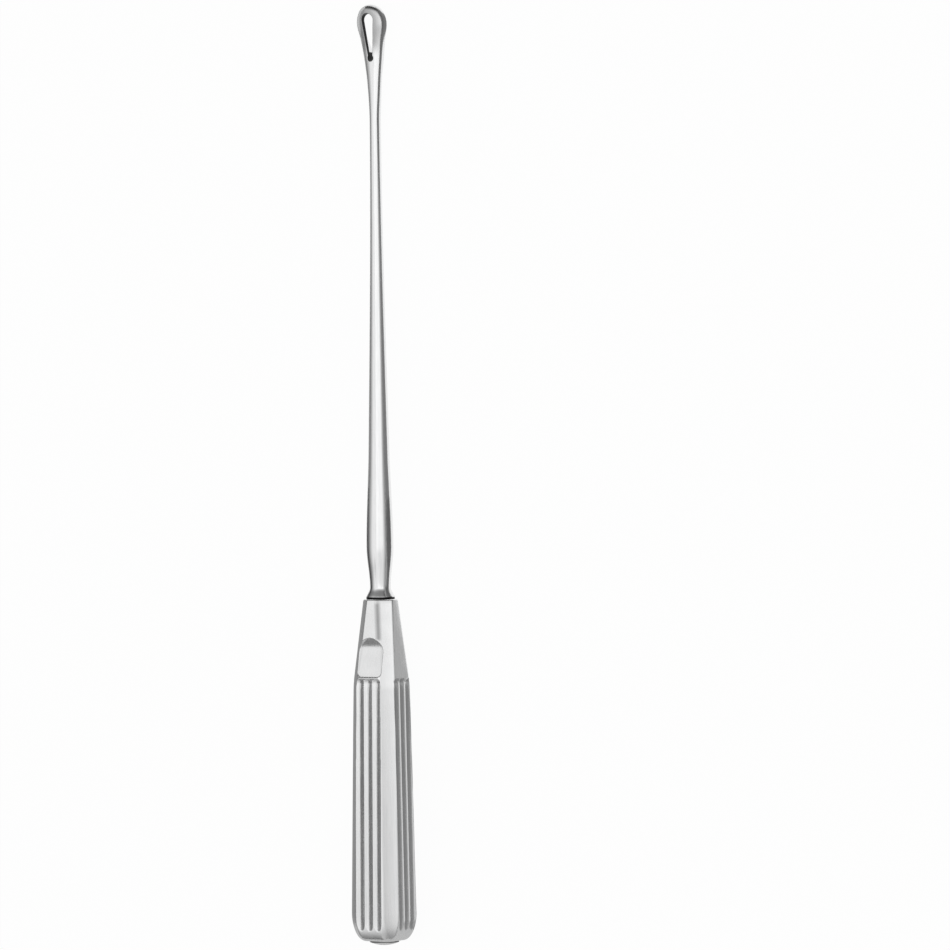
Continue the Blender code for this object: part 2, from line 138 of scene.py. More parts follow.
# The shaft
THROAT_WIDTH = 5.7 * MM
THROAT_HALF_DEPTH = 1.7 * MM
STEM_AT = 22.0 * MM
STEM_WIDTH = 4.24 * MM
STEM_HALF_DEPTH = 1.66 * MM
NECK_AT = 32.5 * MM
NECK_DIAMETER = 3.15 * MM
TAPER_END_AT = 124.0 * MM
TAPER_END_DIAMETER = 5.85 * MM
BELLY_AT = 150.0 * MM
BELLY_DIAMETER = 7.5 * MM
WAIST_AT = 161.2 * MM
WAIST_DIAMETER = 5.75 * MM
SHAFT_LENGTH = 164.2 * MM
SHOULDER_DIAMETER = 7.9 * MM
SHOULDER_LIP = 0.3 * MM
SHOULDER_ROUNDING = 0.1 * MM
SHOULDER_CREVICE = 0.03 * MM
LIP_STEP = 0.03 * MM
LIP_POINTS = 4
TANG_DIAMETER = 4.0 * MM
TANG_LENGTH = 24.0 * MM

# The handle
HANDLE_LENGTH = 94.5 * MM
TOP_HALF_WIDTH = 4.85 * MM
KNEE_AT = 23.7 * MM
KNEE_HALF_WIDTH = 7.06 * MM
KNEE_BLEND = 1.5 * MM
BUTT_HALF_WIDTH = 7.87 * MM
CORNER_CUT = 3.46 * MM
EDGE_ROUNDING = 0.9 * MM
TOP_EDGE = 0.45 * MM
BUTT_ROUNDING_LENGTH = 8.0 * MM
BUTT_ROUNDING_DEPTH = 3.45 * MM
BUTT_EDGE_ROUNDING = 2.4 * MM
SOCKET_RADIUS = 2.3 * MM
SOCKET_LENGTH = 88.0 * MM
LEAST_CORNER = 1.0 * MM
CORNER_SHADE_RUN = 0.6 * MM
CORNER_SHADE_AT_TOP = 0.45

# How finely the handle is drawn across a face
FRONT_FLUTE_COLUMNS = 24
FLUTE_COLUMNS = 16
WALL_COLUMNS = (0.06, 0.18, 0.38, 0.66, 1.0)
CORNER_COLUMNS = 12

# The flutes
FLUTES_PER_FACE = 3
FLUTE_PITCH = 2.75 * MM
FLUTE_DEPTH = 0.65 * MM
RIDGE_DEPTH = 0.1 * MM
RIDGE_ROUNDING = 0.03 * MM
FLUTE_STEP_BACK = 0.2 * MM
FLUTE_WALL = 0.1 * MM
FLUTE_SOFTNESS = 0.04 * MM

# The thumb rest
THUMB_REST_AT = 10.6 * MM
THUMB_REST_LENGTH = 11.0 * MM
THUMB_REST_WIDTH = 8.2 * MM
THUMB_REST_DEPTH = 1.4 * MM
THUMB_REST_FOOT_DEPTH = 0.7 * MM
THUMB_REST_FOOT_ROUNDING = 1.6 * MM
THUMB_REST_WALL_RUN = 3.4 * MM
THUMB_REST_EDGE = 0.12 * MM
THUMB_REST_FILLET = 0.3 * MM
# Where the line of painted shade runs along the right edge above the thumb rest: its shift, width
# and fade
EDGE_LINE_SHIFT = 0.25 * MM
EDGE_LINE_WIDTH = 1.0 * MM
EDGE_LINE_FADE = 1.2 * MM

# The plug
PLUG_DIAMETER = 8.1 * MM
PLUG_DOME = 1.0 * MM
PLUG_EDGE = 0.15 * MM
PLUG_CREVICE = 0.03 * MM
SPIGOT_DIAMETER = 6.0 * MM
SPIGOT_LENGTH = 4.0 * MM
PLUG_RINGS = 24
PLUG_POINTS = 96

OVERALL_LENGTH = SHAFT_LENGTH + SEAT_GAP + HANDLE_LENGTH + SEAT_GAP + PLUG_DOME
HANDLE_TOP_AT = SHAFT_LENGTH + SEAT_GAP
HANDLE_END_AT = HANDLE_TOP_AT + HANDLE_LENGTH
FLUTES_FROM = THUMB_REST_AT + THUMB_REST_LENGTH + FLUTE_STEP_BACK
FLUTE_PANEL_HALF = FLUTES_PER_FACE * FLUTE_PITCH / 2
FLUTE_SIZES = {
    "Pitch": FLUTE_PITCH,
    "Flute Depth": FLUTE_DEPTH,
    "Ridge Depth": RIDGE_DEPTH,
    "Ridge Rounding": RIDGE_ROUNDING,
    "Panel Half Width": FLUTE_PANEL_HALF,
    "Wall": FLUTE_WALL,
    "Starts At": FLUTES_FROM,
    "Softness": FLUTE_SOFTNESS,
}
SHARP_FROM = math.radians(42.0)
MERGE_WITHIN = 0.0001 * MM

# The picture
PICTURE_WIDTH = 950
PIXELS_PER_METRE = 3610.0
LENS = 180.0
SENSOR_WIDTH = 36.0
SEES_FROM, SEES_TO = 0.05, 20.0
TURN_FROM_FRONT = math.radians(32.0)
LEAN = math.radians(0.66)
AXIS_FROM_MIDDLE = -95.8


def smooth_through(stations, values, at):
    """A smooth curve through the stations, level at its peaks and hollows, without overshoot."""
    stations, values, at = (np.asarray(part, dtype=float) for part in (stations, values, at))
    steps = np.diff(stations)
    slopes = np.diff(values) / steps
    tangents = np.zeros(len(values))
    tangents[-1] = slopes[-1]
    for i in range(1, len(slopes)):
        if slopes[i - 1] * slopes[i] > 0:
            tangents[i] = 2 * slopes[i - 1] * slopes[i] / (slopes[i - 1] + slopes[i])
    k = np.clip(np.searchsorted(stations, at, side="right") - 1, 0, len(steps) - 1)
    u = (at - stations[k]) / steps[k]
    return (
        values[k] * (1 + 2 * u) * (1 - u) ** 2
        + tangents[k] * steps[k] * u * (1 - u) ** 2
        + values[k + 1] * u**2 * (3 - 2 * u)
        + tangents[k + 1] * steps[k] * u**2 * (u - 1)
    )


def ease(value, start, end):
    """0 before start and 1 after end, with a level beginning and end."""
    u = np.clip((value - start) / (end - start), 0.0, 1.0)
    return u * u * (3 - 2 * u)


def quarter(share):
    """A quarter round: 0 at share 0, where it rises steeply, and 1 from share 1 on, level."""
    return np.sqrt(1 - (1 - np.clip(share, 0.0, 1.0)) ** 2)


def place(distance, across, height):
    """Points in the instrument's frame, from their distances behind the tip."""
    distance, across, height = np.broadcast_arrays(distance, across, height)
    return np.stack([OVERALL_LENGTH / 2 - distance, across, height], axis=-1)


def grid_faces(rows, columns, close_rows=False, close_columns=False, skip=None):
    """The quads of a grid of points numbered row by row."""
    faces = []
    for r in range(rows if close_rows else rows - 1):
        for c in range(columns if close_columns else columns - 1):
            if skip is not None and skip(r, c):
                continue
            up, right = (r + 1) % rows, (c + 1) % columns
            near, far = r * columns, up * columns
            faces.append((near + c, near + right, far + right, far + c))
    return faces


def lay_down():
    """Turns the instrument's frame into the place in which it comes to rest."""
    return Matrix.Translation(REST_MIDDLE) @ Matrix.Rotation(REST_SLOPE, 4, "Y")


def build_mesh(name, points, faces, attributes=()):
    """A mesh from points and faces, with its doubles merged and its faces pointing out. Each
    attribute is a name and one number or one vector for each point."""
    mesh = bpy.data.meshes.new(name)
    mesh.from_pydata([tuple(point) for point in points], [], faces)
    for label, values in attributes:
        values = np.asarray(values, dtype=np.float32)
        kind, field = ("FLOAT_VECTOR", "vector") if values.ndim == 2 else ("FLOAT", "value")
        mesh.attributes.new(label, kind, "POINT").data.foreach_set(field, values.ravel())
    shape = bmesh.new()
    shape.from_mesh(mesh)
    bmesh.ops.remove_doubles(shape, verts=shape.verts, dist=MERGE_WITHIN)
    bmesh.ops.recalc_face_normals(shape, faces=shape.faces)
    shape.to_mesh(mesh)
    shape.free()
    mesh.shade_smooth()
    return mesh


def link(name, mesh):
    obj = bpy.data.objects.new(name, mesh)
    bpy.context.scene.collection.objects.link(obj)
    return obj


# The loop and shaft


def lift(distance):
    """How far the forward bend raises the shaft's centre line."""
    return TIP_LIFT * np.maximum(1 - distance / BEND_START_AT, 0.0) ** BEND_POWER


def round_at(distance, diameter):
    """A station of the shaft where it is round."""
    return distance, diameter, diameter / 2, diameter / 2


def shaft_sizes(distance):
    """Half the width of the loop or shaft at a distance from the tip, and how deep its front and
    its back are."""
    middle_front = (LOOP_FRONT_DEPTH + THROAT_HALF_DEPTH) / 2
    middle_back = (LOOP_BACK_DEPTH + THROAT_HALF_DEPTH) / 2
    where, widths, fronts, backs = zip(
        (LOOP_WIDEST_AT, LOOP_WIDTH, LOOP_FRONT_DEPTH, LOOP_BACK_DEPTH),
        (LOOP_SHOULDER_AT, LOOP_SHOULDER_WIDTH, middle_front, middle_back),
        (EYE_AT, THROAT_WIDTH, THROAT_HALF_DEPTH, THROAT_HALF_DEPTH),
        (STEM_AT, STEM_WIDTH, STEM_HALF_DEPTH, STEM_HALF_DEPTH),
        round_at(NECK_AT, NECK_DIAMETER),
        round_at(TAPER_END_AT, TAPER_END_DIAMETER),
        round_at(BELLY_AT, BELLY_DIAMETER),
        round_at(WAIST_AT, WAIST_DIAMETER),
        round_at(SHAFT_LENGTH - SHOULDER_LIP, SHOULDER_DIAMETER),
    )
    at = np.maximum(distance, LOOP_WIDEST_AT)
    half_width = smooth_through(where, widths, at) / 2
    nose = np.sqrt(1 - np.clip(1 - distance / LOOP_WIDEST_AT, 0.0, 1.0) ** 2)
    return half_width * nose, smooth_through(where, fronts, at), smooth_through(where, backs, at)


def back_squareness(distance):
    """The power of the outline's back: flat with sharp corners at the loop, and 2, a plain oval,
    at the stem."""
    return RIM_SQUARENESS + (2 - RIM_SQUARENESS) * ease(distance, LOOP_WIDEST_AT, STEM_AT)


def surface_height(distance, across, front):
    """The height of the front or the back surface of the loop or shaft over its plan."""
    half_width, front_depth, back_depth = shaft_sizes(distance)
    share = np.clip(np.abs(across) / np.maximum(half_width, 1e-9), 0.0, 1.0)
    if front:
        depth = front_depth * quarter(distance / NOSE_LENGTH)
        return lift(distance) + depth * np.sqrt(1 - share**2)
    power = back_squareness(distance)
    depth = back_depth * quarter(distance / RIM_EDGE)
    return lift(distance) - depth * (1 - share**power) ** (1 / power)


def drop_distance(s, y, wide_at, wide_radius, end_at, end_radius):
    """How far a point in plan lies outside a drop with a large and a small round end."""
    length = end_at - wide_at
    lean = (wide_radius - end_radius) / length
    upright = math.sqrt(1 - lean**2)
    y, s = np.abs(y), s - wide_at
    along = upright * s - lean * y
    side = upright * y + lean * s - wide_radius
    side = np.where(along < 0, np.hypot(y, s) - wide_radius, side)
    return np.where(along > upright * length, np.hypot(y, s - length) - end_radius, side)


def window_distance(s, y):
    """How far a point in plan lies outside the keyhole of the window and the eye."""
    radius = WINDOW_WIDTH / 2
    drop = drop_distance(s, y, WINDOW_FROM_TIP + radius, radius, EYE_AT, WINDOW_END_WIDTH / 2)
    return np.minimum(drop, np.hypot(s - EYE_AT, y) - EYE_DIAMETER / 2)


def bowl_distance(s, y):
    """How far a point in plan lies outside the hollow of the loop's back."""
    return drop_distance(s, y, LOOP_WIDEST_AT, BOWL_WIDTH / 2, BOWL_END_AT, BOWL_END_WIDTH / 2)


def leaving_point(outside, s, y, ds, dy, reach):
    """How far along each ray it leaves the shape that outside measures, by halving."""
    near, far = np.zeros_like(reach), reach.copy()
    for _ in range(HALVINGS):
        middle = (near + far) / 2
        beyond = outside(s + middle * ds, y + middle * dy) > 0
        far = np.where(beyond, middle, far)
        near = np.where(beyond, near, middle)
    return near


def half_of_rays():
    """Rays over the plan of one half of the head, from the tip round to the stem: where each
    starts on the centre line, its direction, its length, and whether it ends at the stem."""
    nose = [
        (
            LOOP_WIDEST_AT,
            -math.cos(turn),
            math.sin(turn),
            1 / math.hypot(math.cos(turn) / LOOP_WIDEST_AT, math.sin(turn) / (LOOP_WIDTH / 2)),
            False,
        )
        for turn in np.linspace(0.0, RIGHT_ANGLE, NOSE_RAYS, endpoint=False)
    ]
    eye_starts = EYE_AT - EYE_DIAMETER / 2
    beside_window = np.linspace(LOOP_WIDEST_AT, eye_starts, WINDOW_RAYS, endpoint=False)
    beside_eye = np.linspace(eye_starts, EYE_AT, EYE_RAYS)
    sides = [
        (s, 0.0, 1.0, float(shaft_sizes(s)[0]), False)
        for s in np.concatenate([beside_window, beside_eye])
    ]
    targets = [
        (s, float(shaft_sizes(s)[0]), False)
        for s in np.linspace(EYE_AT, HEAD_END_AT, REAR_RAYS + 2)[1:-1]
    ]
    targets += [(HEAD_END_AT, y, True) for y in head_end_row()]
    rear = []
    for s, y, at_stem in targets:
        length = math.hypot(s - EYE_AT, y)
        rear.append((EYE_AT, (s - EYE_AT) / length, y / length, length, at_stem))
    return nose + sides + rear


def head_end_row():
    """How far aside the points lie where the head meets the stem, from its side to its middle."""
    half_width = float(shaft_sizes(HEAD_END_AT)[0])
    return [
        half_width * math.cos(RIGHT_ANGLE * i / STEM_QUARTER_POINTS)
        for i in range(STEM_QUARTER_POINTS)
    ] + [0.0]


def spread_evenly(t, z, count):
    """Points at even steps along each polyline of t and z, one polyline to a row."""
    run = np.hypot(np.diff(t, axis=1), np.diff(z, axis=1))
    run = np.concatenate([np.zeros((len(t), 1)), np.cumsum(run, axis=1)], axis=1)
    even = np.linspace(0.0, 1.0, count)
    return np.array([np.interp(even * r[-1], r, row) for r, row in zip(run, t)])


def head_grid():
    """The head as a grid: one row for each ray, and along it the section of the rim that the ray
    cuts, from the bowl's ceiling up the window's wall, over the front, round the edge and back
    under the rim into the bowl. With its points and faces come how much painted shade darkens
    each point on and near the cut walls, and how far it has the rougher ground finish with its
    painted shade towards the window."""
    half = half_of_rays()
    rays = half + [(s, ds, -dy, length, end) for s, ds, dy, length, end in half[-2:0:-1]]
    s0, ds, dy, reach, at_stem = (np.array(column) for column in zip(*rays))
    y0 = np.zeros_like(s0)
    window = leaving_point(window_distance, s0, y0, ds, dy, reach)[:, None]
    bowl = leaving_point(bowl_distance, s0, y0, ds, dy, reach)[:, None]
    bowl = np.maximum(bowl, window + LEAST_LEDGE)
    fillet = np.minimum(BOWL_FILLET, (bowl - window) * NARROW_FILLET_SHARE)
    s0, ds, dy, reach = (column[:, None] for column in (s0, ds, dy, reach))

    def front(t):
        return surface_height(s0 + t * ds, t * dy, True)

    def back(t):
        return surface_height(s0 + t * ds, t * dy, False)

    def ceiling(t):
        return lift(s0 + t * ds) + LOOP_FRONT_DEPTH - BOWL_SHELL

    bend = np.linspace(0.0, RIGHT_ANGLE, BEND_POINTS)[None, :]
    climb = np.linspace(0.0, 1.0, WALL_POINTS + 2)[None, 1:-1]
    shares = np.linspace(0.0, 1.0, ROOF_POINTS + 2)[None, 1:-1]
    dense = np.linspace(0.0, 1.0, MEASURING_POINTS)[None, :] ** MEASURING_CROWDING

    narrow_rounding = (bowl - window) * NARROW_ROUNDING_SHARE
    back_rounding = np.minimum(WINDOW_BACK_ROUNDING, narrow_rounding)
    lower_t = window + back_rounding * (1 - np.sin(bend))
    lower_z = ceiling(window) + back_rounding * (1 - np.cos(bend))
    top_t = window + WINDOW_TOP_ROUNDING * (1 - np.cos(bend))
    top_z = front(window + WINDOW_TOP_ROUNDING) - WINDOW_TOP_ROUNDING * (1 - np.sin(bend))
    wall_z = lower_z[:, -1:] + (top_z[:, :1] - lower_z[:, -1:]) * climb
    front_start = window + WINDOW_TOP_ROUNDING
    dense_t = reach - (reach - front_start) * dense[:, ::-1]
    over_t = spread_evenly(dense_t, front(dense_t), SURFACE_POINTS)[:, 1:]
    back_start = bowl + RIM_ROUNDING
    dense_t = reach - (reach - back_start) * dense
    under_t = spread_evenly(dense_t, back(dense_t), SURFACE_POINTS)[:, :-1]
    rim_t = bowl + RIM_ROUNDING * (1 - np.sin(bend))
    rim_z = back(back_start) + RIM_ROUNDING * (1 - np.cos(bend))
    hollow_t = bowl - fillet * (1 - np.cos(bend * np.ones_like(bowl)))
    hollow_z = ceiling(bowl) - fillet * (1 - np.sin(bend))
    rise_z = rim_z[:, -1:] + (hollow_z[:, :1] - rim_z[:, -1:]) * climb
    roof_t = hollow_t[:, -1:] + (lower_t[:, :1] - hollow_t[:, -1:]) * shares

    sections = (
        (lower_t, lower_z),
        (np.repeat(window, climb.size, axis=1), wall_z),
        (top_t, top_z),
        (over_t, front(over_t)),
        (under_t, back(under_t)),
        (rim_t, rim_z),
        (np.repeat(bowl, climb.size, axis=1), rise_z),
        (hollow_t, hollow_z),
        (roof_t, ceiling(roof_t)),
    )
    t, z = (np.concatenate(parts, axis=1) for parts in zip(*sections))
    wall_end = lower_t.shape[1] + climb.size
    open_after = wall_end + top_t.shape[1] + over_t.shape[1] - 1
    points = place(np.maximum(s0 + t * ds, LOOP_STARTS_AT), t * dy, z)
    rows, columns = t.shape
    column = np.arange(columns)[None, :]
    # Painted shade: near black on the window's cut wall, fading over the next columns, half on the
    # bowl's roof, and full where the ledge is narrow
    past_wall = (column - wall_end) / WALL_SHADE_COLUMNS
    wall_shade = np.where(column < wall_end, 1.0, np.clip(1 - past_wall, 0.0, 1.0))
    on_roof = column >= columns - shares.size
    wall_shade = np.where(on_roof, ROOF_SHADE, wall_shade) * np.ones_like(t)
    past_under = column > open_after + under_t.shape[1]
    wall_shade = np.where((bowl - window < NARROW_LEDGE) & past_under, 1.0, wall_shade)
    # Painted shade with the ground finish: the tone darkens and the roughness rises near the
    # window, fading along the loop and towards the rim's outer edge
    ground_and_painted_shade = (1 - ease(s0 + t * ds, GROUND_UNTIL, GROUND_FADES_BY)) * (column <= open_after)
    outward = (t - window) / (reach - window)
    ground_and_painted_shade = ground_and_painted_shade * (1 - EDGE_POLISH * ease(outward, EDGE_POLISH_FROM, EDGE_POLISH_BY))

    def at_the_stem(row, column):
        return column == open_after and at_stem[row] and at_stem[(row + 1) % rows]

    faces = grid_faces(rows, columns, True, True, at_the_stem)
    return points.reshape(-1, 3), faces, wall_shade.ravel(), ground_and_painted_shade.ravel()


def shaft_rings():
    """The outlines of the shaft from where the head ends to the end of the tang, and 1 for each
    that is shaded in the crevice at the shoulder or inside the handle."""
    quarter_turns = RIGHT_ANGLE * np.arange(4 * STEM_QUARTER_POINTS) / STEM_QUARTER_POINTS
    side, up = np.cos(quarter_turns), np.sin(quarter_turns)
    across = np.array(head_end_row())
    upper = np.concatenate([across, -across[-2::-1]])
    whole = np.concatenate([upper, -upper[1:-1]])
    heights = np.concatenate(
        [
            surface_height(HEAD_END_AT, upper, True),
            surface_height(HEAD_END_AT, upper[1:-1], False)[::-1],
        ]
    )
    rings = [place(HEAD_END_AT, whole, heights)]
    lip_end = SHAFT_LENGTH - SHOULDER_LIP
    outlines = (
        (HEAD_END_AT, NECK_AT, 30),
        (NECK_AT, TAPER_END_AT, 60),
        (TAPER_END_AT, BELLY_AT, 30),
        (BELLY_AT, WAIST_AT, 24),
        (WAIST_AT, lip_end, 20),
    )
    stations = [s for near, far, n in outlines for s in np.linspace(near, far, n + 1)[1:]]
    for s in stations:
        half_width, front_depth, back_depth = shaft_sizes(s)
        powers = np.where(up >= 0, 1.0, 2 / back_squareness(s))
        y = half_width * np.sign(side) * np.abs(side) ** powers
        z = np.where(up >= 0, front_depth, back_depth) * np.sign(up) * np.abs(up) ** powers
        rings.append(place(s, y, z + lift(s)))
    lip = SHOULDER_DIAMETER / 2
    bends = np.linspace(0.0, RIGHT_ANGLE, LIP_POINTS)
    foot = SHAFT_LENGTH + SEAT_GAP - SHOULDER_CREVICE
    ends = [(lip_end + LIP_STEP, lip)]
    ends += [
        (
            foot - SHOULDER_ROUNDING * (1 - math.sin(b)),
            lip - SHOULDER_ROUNDING * (1 - math.cos(b)),
        )
        for b in bends
    ]
    ends += [(foot, TANG_DIAMETER / 2), (SHAFT_LENGTH + TANG_LENGTH, TANG_DIAMETER / 2)]
    # Painted shade in the crevice at the shoulder and on the tang inside the handle
    shaded = [0.0] * len(rings) + [1.0] * len(ends)
    rings += [place(s, radius * side, radius * up) for s, radius in ends]
    return rings, shaded


def make_loop_shaft():
    points, faces, wall_shade, ground_and_painted_shade = head_grid()
    rings, shaded = shaft_rings()
    count = len(rings[0])
    first = len(points)
    tube = grid_faces(len(rings), count, close_columns=True)
    faces += [tuple(first + i for i in face) for face in tube]
    faces.append(tuple(first + (len(rings) - 1) * count + i for i in range(count)))
    attributes = (
        ("painted_wall_shade", np.concatenate([wall_shade, np.repeat(shaded, count)])),
        ("ground_and_painted_shade", np.concatenate([ground_and_painted_shade, np.zeros(len(rings) * count)])),
    )
    mesh = build_mesh("loop_shaft_steel", np.concatenate([points, *rings]), faces, attributes)
    return link("polished_loop_shaft", mesh)


# The handle


def face_distance(down):
    """From the axis to the line of a flat face: two straight tapers that meet in a soft knee."""
    upper = (KNEE_HALF_WIDTH - TOP_HALF_WIDTH) / KNEE_AT
    lower_run = HANDLE_LENGTH - BUTT_ROUNDING_LENGTH - KNEE_AT
    lower = (BUTT_HALF_WIDTH - KNEE_HALF_WIDTH) / lower_run
    past = down - KNEE_AT
    u = (np.clip(past, -KNEE_BLEND, KNEE_BLEND) + KNEE_BLEND) / (2 * KNEE_BLEND)
    knee = KNEE_BLEND * (2 * (upper * u + (lower - upper) * u**2 / 2) - upper)
    return KNEE_HALF_WIDTH + np.where(
        past < -KNEE_BLEND, upper * past, np.where(past > KNEE_BLEND, lower * past, knee)
    )


def end_inset(down):
    """How far the rounded top edge and the rounded butt pull the faces in, and how soft the
    edges between the faces are."""
    top = TOP_EDGE * (1 - quarter(down / TOP_EDGE))
    share = np.clip((down - HANDLE_LENGTH) / BUTT_ROUNDING_LENGTH + 1, 0.0, 1.0)
    butt = BUTT_ROUNDING_DEPTH * (1 - np.sqrt(1 - share**2))
    rounding = EDGE_ROUNDING + (BUTT_EDGE_ROUNDING - EDGE_ROUNDING) * share**2
    return top + butt, rounding


def plain_height(down, across):
    """The height of the plain handle over one face, out to the middle of the cut corner."""
    inset, rounding = end_inset(down)
    corner = (2 * face_distance(down) - CORNER_CUT) / math.sqrt(2) - inset
    face = face_distance(down) - inset
    arc_at = math.sqrt(2) * (corner - rounding) - (face - rounding)
    past = np.clip(np.abs(across) - arc_at, 0.0, rounding / math.sqrt(2))
    rounded = face - rounding + np.sqrt(rounding**2 - past**2)
    chamfer = math.sqrt(2) * corner - np.abs(across)
    return np.where(np.abs(across) - arc_at > rounding / math.sqrt(2), chamfer, rounded)


def corner_middle(down):
    inset, _ = end_inset(down)
    return ((2 * face_distance(down) - CORNER_CUT) / math.sqrt(2) - inset) / math.sqrt(2)


def smooth_least(a, b, softness):
    """The lesser of two heights, with the edge between them rounded over."""
    near = np.maximum(softness - np.abs(a - b), 0.0) / softness
    return np.minimum(a, b) - near**3 * softness / 6


def thumb_rest_height(down, across):
    """The floor and walls of the thumb rest, and far above the handle outside it."""
    arch = THUMB_REST_WIDTH / 2
    run = down - THUMB_REST_AT
    foot_at = THUMB_REST_LENGTH - THUMB_REST_FOOT_ROUNDING
    top_inside = arch - np.hypot(np.minimum(run - arch, 0.0), across)
    foot_past = np.maximum(run - foot_at, 0.0)
    foot_side = np.maximum(np.abs(across) - (arch - THUMB_REST_FOOT_ROUNDING), 0.0)
    foot_inside = THUMB_REST_FOOT_ROUNDING - np.hypot(foot_past, foot_side)
    inside = np.minimum(top_inside, foot_inside)
    floor_depth = THUMB_REST_DEPTH + (THUMB_REST_FOOT_DEPTH - THUMB_REST_DEPTH) * (
        ease(run, arch / 2, THUMB_REST_LENGTH)
    )
    depth = floor_depth * quarter(run / THUMB_REST_WALL_RUN)
    depth = depth * quarter(inside / THUMB_REST_FILLET) + THUMB_REST_EDGE
    height = face_distance(down) + THUMB_REST_EDGE - depth
    return np.where(inside > 0, height, face_distance(down) + 2 * THUMB_REST_EDGE)


def painted_edge_shade(down, across):
    """1 along a line of painted shade on the right edge of the face above the thumb rest, 0 away
    from it.
    """
    aside = np.abs(across + face_distance(down) - CORNER_CUT + EDGE_LINE_SHIFT)
    begun = ease(down, TOP_EDGE / 2, 2 * TOP_EDGE)
    left = 1 - ease(down, THUMB_REST_AT, THUMB_REST_AT + EDGE_LINE_FADE)
    return begun * left * (1 - ease(aside, 0.0, EDGE_LINE_WIDTH))


def corner_shade(down, y, z):
    """How much painted shade darkens a cut corner: most beside the upper or lower face and not at
    all beside a side face, and more towards the butt."""
    reach = float(face_distance(down)) - CORNER_CUT
    inside = ease(np.abs(y) - reach, 0.0, CORNER_SHADE_RUN) * (np.abs(z) > reach)
    across = np.clip(0.5 + (np.abs(z) - np.abs(y)) / (2 * CORNER_CUT), 0.0, 1.0)
    rest = 1 - CORNER_SHADE_AT_TOP
    return inside * across * (CORNER_SHADE_AT_TOP + rest * down / HANDLE_LENGTH)


def face_columns(side, middle, per_flute):
    """Where the grid's columns lie across one face, from cut corner to cut corner: closest
    together at the ridges between the flutes."""
    over_flute = (1 - np.cos(math.pi * np.arange(per_flute) / per_flute)) / 2
    flutes = [flute + over_flute for flute in range(FLUTES_PER_FACE)] + [[FLUTES_PER_FACE]]
    inner = side * (2 * np.concatenate(flutes) / FLUTES_PER_FACE - 1)
    wall = side + FLUTE_WALL * np.array(WALL_COLUMNS)
    outer = wall[-1] + (middle - wall[-1]) * np.arange(1, CORNER_COLUMNS + 1) / CORNER_COLUMNS
    beyond = np.concatenate([wall, outer])
    return np.concatenate([-beyond[::-1], inner, beyond])


def handle_stations():
    """Where the handle's outlines are drawn: closest together over the rounded ends, at both
    ends of the thumb rest and where the flutes begin."""
    rest_end = THUMB_REST_AT + THUMB_REST_LENGTH
    arch_from, arch_to = THUMB_REST_AT - 0.3 * MM, THUMB_REST_AT + 2.0 * MM
    foot_from = rest_end - 1.8 * MM
    ball_end = FLUTES_FROM + FLUTE_PITCH / 2
    knee_end = KNEE_AT + KNEE_BLEND
    butt = HANDLE_LENGTH - BUTT_ROUNDING_LENGTH
    parts = (
        TOP_EDGE * (1 - np.cos(np.linspace(0.0, RIGHT_ANGLE, 6))),
        np.linspace(TOP_EDGE, arch_from, 10)[1:],
        np.linspace(arch_from, arch_to, 30)[1:],
        np.linspace(arch_to, foot_from, 44)[1:],
        np.linspace(foot_from, FLUTES_FROM, 26)[1:],
        FLUTES_FROM + FLUTE_PITCH / 2 * (1 - np.cos(np.linspace(0.0, RIGHT_ANGLE, 16)))[1:],
        np.linspace(ball_end, knee_end, 12)[1:],
        np.linspace(knee_end, butt, 14)[1:],
        butt + BUTT_ROUNDING_LENGTH * np.sin(np.linspace(0.0, RIGHT_ANGLE, 46))[1:],
    )
    return np.concatenate(parts)


def handle_body():
    """The handle without its flutes, as one mesh that also says, for each point, where it lies
    across and down its face, how far below the face's line, and which way the face looks."""
    rows = []
    stations = handle_stations()
    for down in stations:
        middle = float(corner_middle(down))
        side = min(FLUTE_PANEL_HALF, middle - LEAST_CORNER)
        ring = []
        for turn in range(4):
            per_flute = FRONT_FLUTE_COLUMNS if turn == 0 else FLUTE_COLUMNS
            across = face_columns(side, middle, per_flute)[:-1]
            height = plain_height(down, across)
            if turn == 0:
                height = smooth_least(height, thumb_rest_height(down, across), THUMB_REST_EDGE)
            angle = -RIGHT_ANGLE * turn
            outward = (0.0, -math.sin(angle), math.cos(angle))
            y = across * math.cos(angle) - height * math.sin(angle)
            z = across * math.sin(angle) + height * math.cos(angle)
            points = place(HANDLE_TOP_AT + down, y, z)
            below = float(face_distance(down)) - height
            # Painted shade along the right edge of the front face above the thumb rest
            edge_shade = painted_edge_shade(down, across) * (turn == 0)
            shade = corner_shade(down, y, z)
            ring += [
                (*point, a, down, b, 1.0, *outward, line, corner)
                for point, a, b, line, corner in zip(points, across, below, edge_shade, shade)
            ]
        rows.append(ring)
    first, last = np.array(rows[0]), np.array(rows[-1])
    narrow, wide = SOCKET_RADIUS, SPIGOT_DIAMETER / 2 + SEAT_GAP
    rows += [
        bore_row(HANDLE_LENGTH, last, wide),
        bore_row(SOCKET_LENGTH, last, wide),
        bore_row(SOCKET_LENGTH, first, narrow),
        bore_row(0.0, first, narrow),
    ]
    data = np.array([row for ring in rows for row in ring])
    faces = grid_faces(len(rows), len(rows[0]), close_rows=True, close_columns=True)
    attributes = (
        ("across", data[:, 3]),
        ("down", data[:, 4]),
        ("below_face", data[:, 5]),
        ("carved", data[:, 6]),
        ("outward", data[:, 7:10]),
        ("painted_edge_shade", data[:, 10]),
        ("corner_shade", data[:, 11]),
    )
    return build_mesh("handle_body", data[:, :3], faces, attributes)


def bore_row(down, source, radius):
    """A round row of the bore, its points at the angles of the row that it starts from."""
    angles = np.arctan2(source[:, 2], source[:, 1])
    points = place(HANDLE_TOP_AT + down, radius * np.cos(angles), radius * np.sin(angles))
    return [(*point, 0.0, 0.0, 0.0, 0.0, 0.0, 0.0, 1.0, 0.0, 0.0) for point in points]


